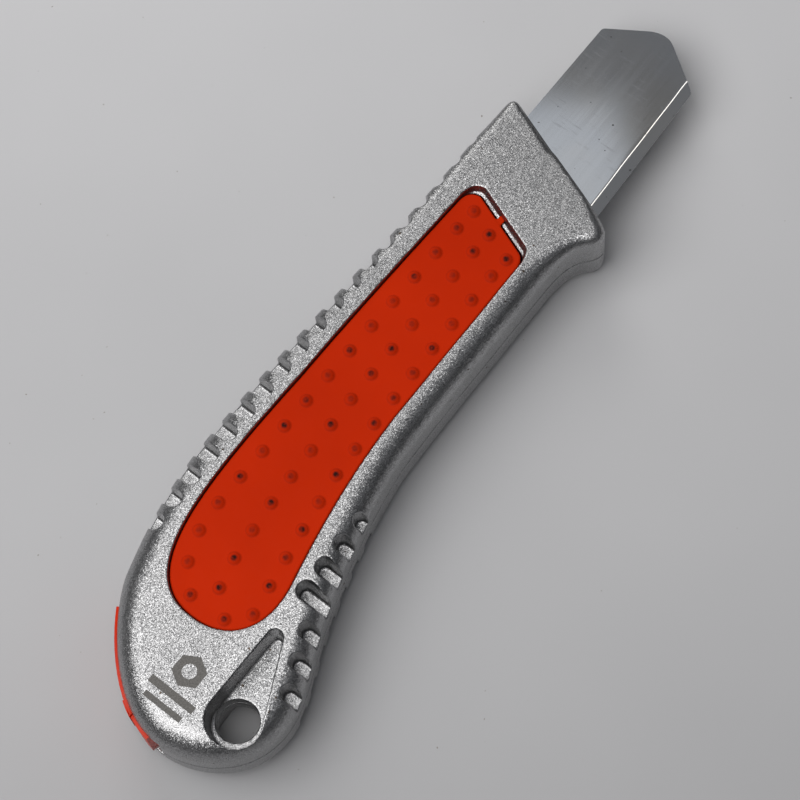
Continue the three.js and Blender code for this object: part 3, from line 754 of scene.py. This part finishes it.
def paint_grime_and_shade(o, dots):
    """A vertex value that darkens the pad: dirt on the worn crown of each dot, more on some than on others,
    painted shade in a ring round each dot's foot, and a faint darkening over each dot's whole disc.
    """
    tree = KDTree(len(dots))
    strength = []
    for i, (x, y) in enumerate(dots):
        tree.insert((*at(x, y).xy, 0), i)
        strength.append(random.choice((0.45, 0.55, 0.7, 0.85, 1.0)))
    tree.balance()
    grime_and_shade = o.data.attributes.new("grime_and_shade", "FLOAT", "POINT")
    values = []
    for v in o.data.vertices:
        _, i, distance = tree.find((v.co.x, v.co.y, 0))
        crown = 1 - smoothstep(distance * 1000, 0.3, 0.9)
        # Painted shade: a dark ring in the crease round each dot's foot.
        foot = 1 - smoothstep(abs(distance * 1000 - DOME_RADIUS), 0.0, 0.3)
        disc = 1 - smoothstep(distance * 1000, DOME_RADIUS - 0.1, DOME_RADIUS + 0.1)
        values.append(crown * strength[i] + 0.2 * foot + 0.07 * disc)
    grime_and_shade.data.foreach_set("value", values)


def grip_pad(name, upwards):
    """A moulded pad with rows of domes. The top one has a tab at its front, and the lower one is slotted
    along the slider's track."""
    skin = THICKNESS - PAD_RECESS if upwards else PAD_RECESS
    if upwards:
        dots = SPINE_DOTS + MIDDLE_DOTS + BELLY_DOTS + FRONT_DOTS
        body = rounded_prism(name, grip_outline(0.2, 0), TOP_POCKET_FLOOR + GAP, skin,
                             lambda x, y: TOP_PAD_ROUND, rings=5)
        extras = [prism("tab", PAD_TAB, LEDGE_Z + GAP, TAB_TOP)]
    else:
        dots = LOWER_DOTS
        base = LOWER_POCKET_FLOOR - GAP
        body = rounded_prism(name, grip_outline(0, 0), THICKNESS - base, THICKNESS - skin,
                             lambda x, y: LOWER_PAD_ROUND, rings=5, upwards=False)
        rear, front, half = TRACK
        slot = track_slot(rear - GAP, front + GAP, half + GAP)
        boolean(body, [prism("slot", slot, 0, LOWER_POCKET_FLOOR + 1)])
        extras = []
    direction = 1 if upwards else -1
    foot = skin - direction * 0.4
    domes = [dome("dome", x, y, foot, skin, DOME_HEIGHT, DOME_RADIUS, direction) for x, y in dots]
    boolean(body, domes + extras, "UNION")
    soften(body, PAD_VOXEL, passes=1, keep=0.4)
    paint_grime_and_shade(body, dots)
    return body


# ---------------------------------------------------------------- blade

BLADE_HALF = 12.5
BLADE_THICKNESS = 0.7
EDGE_THICKNESS = 0.1
BLADE_REAR = -78.6
BEVEL_WIDTH = 1.85
SHOULDER = 0.9
SLICE_LENGTH = 0.8
PIN_HOLE = (-73.6, 0, 1.8)
GROUND_BACK_FROM = -9.4
GROUND_BACK_OVER = 32.8
GROUND_BACK = 1.3
EDGE_END = 23.2


def edge_y(x):
    """The cutting edge is ground back a little towards the tip."""
    return -BLADE_HALF + GROUND_BACK * min(max((x - GROUND_BACK_FROM) / GROUND_BACK_OVER, 0), 1)


def blade_half_section(x):
    """(y, height) from the spine to the edge, with a soft shoulder where the bevel starts."""
    flat = BLADE_THICKNESS / 2
    drop = flat - EDGE_THICKNESS / 2
    edge = edge_y(x)
    wander = 0.03 * math.sin(x * 0.55) + 0.03 * math.sin(x * 0.23 + 1)
    start = edge + BEVEL_WIDTH + wander
    points = [(y, flat) for y in (BLADE_HALF + 1, BLADE_HALF - 0.6, 0, start + 1.6, start + SHOULDER)]
    slope = drop / (start - edge)
    for i in range(1, 9):
        t = i / 8
        points.append((start + SHOULDER * (0.5 - t) + SHOULDER / 2, flat - slope * SHOULDER * t * t / 2))
    points.append((edge + 0.25, EDGE_THICKNESS / 2 + slope * 0.25))
    points += [(y, EDGE_THICKNESS / 2) for y in (edge, edge - 0.6)]
    return points


def blade():
    """A strip with ground bevels, cut to the blade's outline."""
    bm = bmesh.new()
    loops = []
    x = BLADE_REAR - 2
    while x < TIP_X + 3:
        half = blade_half_section(x)
        ring = [(y, MIDDLE + h) for y, h in half] + [(y, MIDDLE - h) for y, h in reversed(half)]
        loops.append([bm.verts.new(at(x, y, z)) for y, z in ring])
        x += SLICE_LENGTH
    n = len(loops[0])
    for a, b in zip(loops, loops[1:]):
        for i in range(n):
            j = (i + 1) % n
            bm.faces.new((a[i], a[j], b[j], b[i]))
    bm.faces.new(loops[0][::-1])
    bm.faces.new(loops[-1])
    bmesh.ops.recalc_face_normals(bm, faces=bm.faces)
    strip = new_object("snap_blade", bm)
    outline = [(BLADE_REAR, -BLADE_HALF), (GROUND_BACK_FROM, -BLADE_HALF), (EDGE_END, edge_y(EDGE_END)),
               (24.0, -11), (24.6, -10.3)]
    outline += quadratic((30.1, -2), (32.2, 1.0), (29.8, 4.7), 12) + line((29.8, 4.7), (25.2, 11.8))
    outline += quadratic((25.2, 11.8), (24.8, BLADE_HALF), (24.1, BLADE_HALF), 6)
    outline += [(24.1, BLADE_HALF), (BLADE_REAR, BLADE_HALF)]
    boolean(strip, [prism("outline", outline, 0, THICKNESS)], "INTERSECT")
    x, y, r = PIN_HOLE
    boolean(strip, [prism("hole", circle(x, y, r), 0, THICKNESS)])
    for face in strip.data.polygons:
        face.use_smooth = True
    strip.data.set_sharp_from_angle(angle=math.radians(20))
    return strip


# ---------------------------------------------------------------- the mark on the tail

NUT_CENTRE = (-134.3, -10.6)
NUT_RADIUS = 3.5
NUT_EYE_RADIUS = 1.5


def tail_mark():
    """A plain etched mark: a six-sided nut outline over two bars."""
    top = THICKNESS + 0.02
    low = THICKNESS - 0.1
    mark = prism("tail_mark", rectangle(-140.5, -138.9, -16.2, -5.4), low, top)
    bar = prism("bar", rectangle(-143.2, -142.0, -15.4, -6.4), low, top)
    nut = prism("nut", circle(*NUT_CENTRE, NUT_RADIUS, 6), low, top)
    boolean(nut, [prism("eye", circle(*NUT_CENTRE, NUT_EYE_RADIUS), low - 1, top + 1)])
    boolean(mark, [bar, nut], "UNION")
    return mark


# ---------------------------------------------------------------- assembly

SHARP_ANGLE = math.radians(32)


def finish_cad(name, material, bevel):
    """Gives a carried-over CAD node its material. Its sharp edges get the bevel, or stay sharp if it is 0."""
    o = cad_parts[name]
    o.data.materials.clear()
    o.data.materials.append(material)
    for face in o.data.polygons:
        face.use_smooth = True
    weld = o.modifiers.new("weld", "WELD")
    weld.merge_threshold = 0.000002
    if bevel:
        edge = o.modifiers.new("edge", "BEVEL")
        edge.width = bevel / 1000
        edge.segments = 2
        edge.limit_method = "ANGLE"
        edge.angle_limit = SHARP_ANGLE
        edge.harden_normals = True
    else:
        split = o.modifiers.new("split", "EDGE_SPLIT")
        split.split_angle = SHARP_ANGLE


def add_piece(o, body, material, slot, *nodes):
    """Puts a finished mesh on its body, in place of the CAD nodes named."""
    o.data.materials.clear()
    o.data.materials.append(material)
    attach(o, body)
    if nodes:
        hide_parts(*nodes)


def build():
    silver = silver_paint()
    rubber = orange_rubber()
    add_piece(casting("top_casting", True), "housing", silver, "silver_casting", "top_shell")
    add_piece(casting("bottom_casting", False), "housing", silver, "silver_casting", "bottom_shell")
    add_piece(grip_pad("top_grip", True), "housing", rubber, "grip_rubber", "grip_pad_top")
    add_piece(grip_pad("bottom_grip", False), "housing", rubber, "grip_rubber", "grip_pad_bottom")
    add_piece(tail_mark(), "housing", etched_grey(), "silver_casting")

    plastic = orange_plastic()
    sheet_steel = plain_metal("sheet_steel", (0.56, 0.56, 0.55), 0.3)
    pin_steel = plain_metal("pin_steel", (0.50, 0.50, 0.49), 0.32)
    screw_steel = plain_metal("screw_steel", (0.20, 0.20, 0.21), 0.36)
    black = black_plastic()
    add_piece(blade(), "carriage", blade_steel(), "blade_steel", "blade")
    finish_cad("end_cap", plastic, 0.25)
    finish_cad("cap_latch", plastic, 0.25)
    finish_cad("thumb_button", plastic, 0.15)
    finish_cad("blade_carrier", black, 0.1)
    for name in ("leaf_spring", "detent_plate", "blade_liner"):
        finish_cad(name, sheet_steel, 0)
    for name in ("blade_pin", "latch_pin", "spring_rivet_1", "spring_rivet_2",
                 "dowel_pin_front", "dowel_pin_rear"):
        finish_cad(name, pin_steel, 0)
    for name in ("shell_screw_nose", "shell_screw_mid", "shell_screw_tail"):
        finish_cad(name, screw_steel, 0)


# ---------------------------------------------------------------- stage, light and camera

FLOOR_HALF = 1.5
FLOOR_GAP = 0.0001


def stage():
    bm = bmesh.new()
    bmesh.ops.create_grid(bm, x_segments=1, y_segments=1, size=FLOOR_HALF)
    floor = new_object("floor", bm)
    floor.location.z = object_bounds()[0][2] - FLOOR_GAP
    floor.data.materials.append(floor_paint())
    floor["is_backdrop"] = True


def area_light(name, place, aim, size, power, colour):
    data = bpy.data.lights.new(name, "AREA")
    data.shape = "SQUARE"
    data.size = size
    data.energy = power
    data.color = colour
    o = bpy.data.objects.new(name, data)
    bpy.context.collection.objects.link(o)
    o.location = place
    o.rotation_euler = (Vector(aim) - Vector(place)).to_track_quat("-Z", "Y").to_euler()


CAMERA_AIM = Vector((-0.0038, 0.0035, 0.0))
CAMERA_DISTANCE = 0.5677
CAMERA_FORWARD = Vector((0.22837, 0.25270, -0.94021))
CAMERA_RIGHT = Vector((0.62578, -0.77791, -0.05708))
CAMERA_LENS = 126
SENSOR_WIDTH = 36


def camera():
    data = bpy.data.cameras.new("camera")
    o = bpy.data.objects.new("camera", data)
    bpy.context.collection.objects.link(o)
    data.lens = CAMERA_LENS
    data.sensor_width = SENSOR_WIDTH
    forward = CAMERA_FORWARD.normalized()
    right = (CAMERA_RIGHT - forward * CAMERA_RIGHT.dot(forward)).normalized()
    up = right.cross(forward)
    turn = Matrix((right, up, -forward)).transposed().to_4x4()
    o.matrix_world = Matrix.Translation(CAMERA_AIM - forward * CAMERA_DISTANCE) @ turn
    bpy.context.scene.camera = o


# The room as the polished blade sees it. The axes are those of the camera's mirror image in a level surface,
# so a place (right, up) in the room is what a level mirror shows at that place in the picture.
LEVEL_MIRROR = Vector((1, 1, -1))
MIRROR_FORWARD = CAMERA_FORWARD * LEVEL_MIRROR
MIRROR_RIGHT = CAMERA_RIGHT * LEVEL_MIRROR
MIRROR_UP = CAMERA_RIGHT.cross(CAMERA_FORWARD) * LEVEL_MIRROR


def room():
    """A dim room: dark at the horizon, brighter overhead, with a window, two beams and a strip lamp."""
    world = bpy.data.worlds.new("studio")
    bpy.context.scene.world = world
    world.use_nodes = True
    tree = world.node_tree

    def maths(operation, a, b):
        return add_node(tree, "ShaderNodeMath", {0: a, 1: b}, operation=operation).outputs[0]

    def along(direction):
        made = add_node(tree, "ShaderNodeVectorMath", {0: way, 1: direction}, operation="DOT_PRODUCT")
        return made.outputs["Value"]

    def ease(value, low, high):
        made = add_node(tree, "ShaderNodeMapRange", {"Value": value, "From Min": low, "From Max": high},
                        interpolation_type="SMOOTHSTEP")
        return made.outputs["Result"]

    def patch(below, colour, right, up, soft, turn=0.0):
        """colour over a soft-edged rectangle of the mirror image, given as (middle, half size) each way."""
        c, s = math.cos(turn), math.sin(turn)
        du = maths("SUBTRACT", u, right[0])
        dv = maths("SUBTRACT", v, up[0])
        across = maths("ADD", maths("MULTIPLY", du, c), maths("MULTIPLY", dv, s))
        climb = maths("SUBTRACT", maths("MULTIPLY", dv, c), maths("MULTIPLY", du, s))
        inside = facing
        for value, half in ((across, right[1]), (climb, up[1])):
            inside = maths("MULTIPLY", inside, ease(maths("ABSOLUTE", value, 0), half + soft, half))
        return add_mix(tree, inside, below, colour)

    way = add_node(tree, "ShaderNodeTexCoord").outputs["Generated"]
    depth = along(MIRROR_FORWARD)
    facing = ease(depth, 0.1, 0.2)
    u = maths("DIVIDE", along(MIRROR_RIGHT), maths("MAXIMUM", depth, 0.05))
    v = maths("DIVIDE", along(MIRROR_UP), maths("MAXIMUM", depth, 0.05))
    height = add_node(tree, "ShaderNodeSeparateXYZ", {0: way}).outputs["Z"]
    horizon_colour = (0.015, 0.0155, 0.0165)
    overhead_colour = (0.19, 0.194, 0.205)
    backdrop_colour = (0.58, 0.58, 0.59)
    sky = add_mix(tree, ease(height, 0.1, 0.95), horizon_colour, overhead_colour)
    window = dict(colour=(0.62, 0.65, 0.70), right=(0.045, 0.038), up=(0.075, 0.034), soft=0.006, turn=0.25)
    cross_beam = dict(colour=(0.16, 0.16, 0.165), right=(0.05, 0.045), up=(0.117, 0.0045), soft=0.003)
    side_beam = dict(colour=(0.15, 0.145, 0.14), right=(0.094, 0.007), up=(0.098, 0.012), soft=0.006)
    strip_lamp = dict(colour=(2.6, 2.5, 2.4), right=(0.175, 0.02), up=(0.010, 0.12), soft=0.01,
                      turn=math.radians(-35))
    for thing in (window, cross_beam, side_beam, strip_lamp):
        sky = patch(sky, **thing)
    seen = add_node(tree, "ShaderNodeLightPath").outputs["Is Camera Ray"]
    colour = add_mix(tree, seen, sky, backdrop_colour)
    tree.links.new(colour, tree.nodes["Background"].inputs["Color"])


def lights():
    """The room, a broad key light high over the tail and a weaker fill from the nose's side, in metres."""
    room()
    area_light("key", place=(-0.30, 0.12, 0.68), aim=(0, 0, 0), size=0.7, power=4.7, colour=(1.0, 0.99, 0.98))
    area_light("fill", place=(0.42, 0.52, 0.45), aim=(0.03, 0.03, 0), size=0.4, power=1.4,
               colour=(1.0, 0.99, 0.97))


camera()
build()
stage()
lights()
bpy.context.scene.view_settings.view_transform = "Standard"
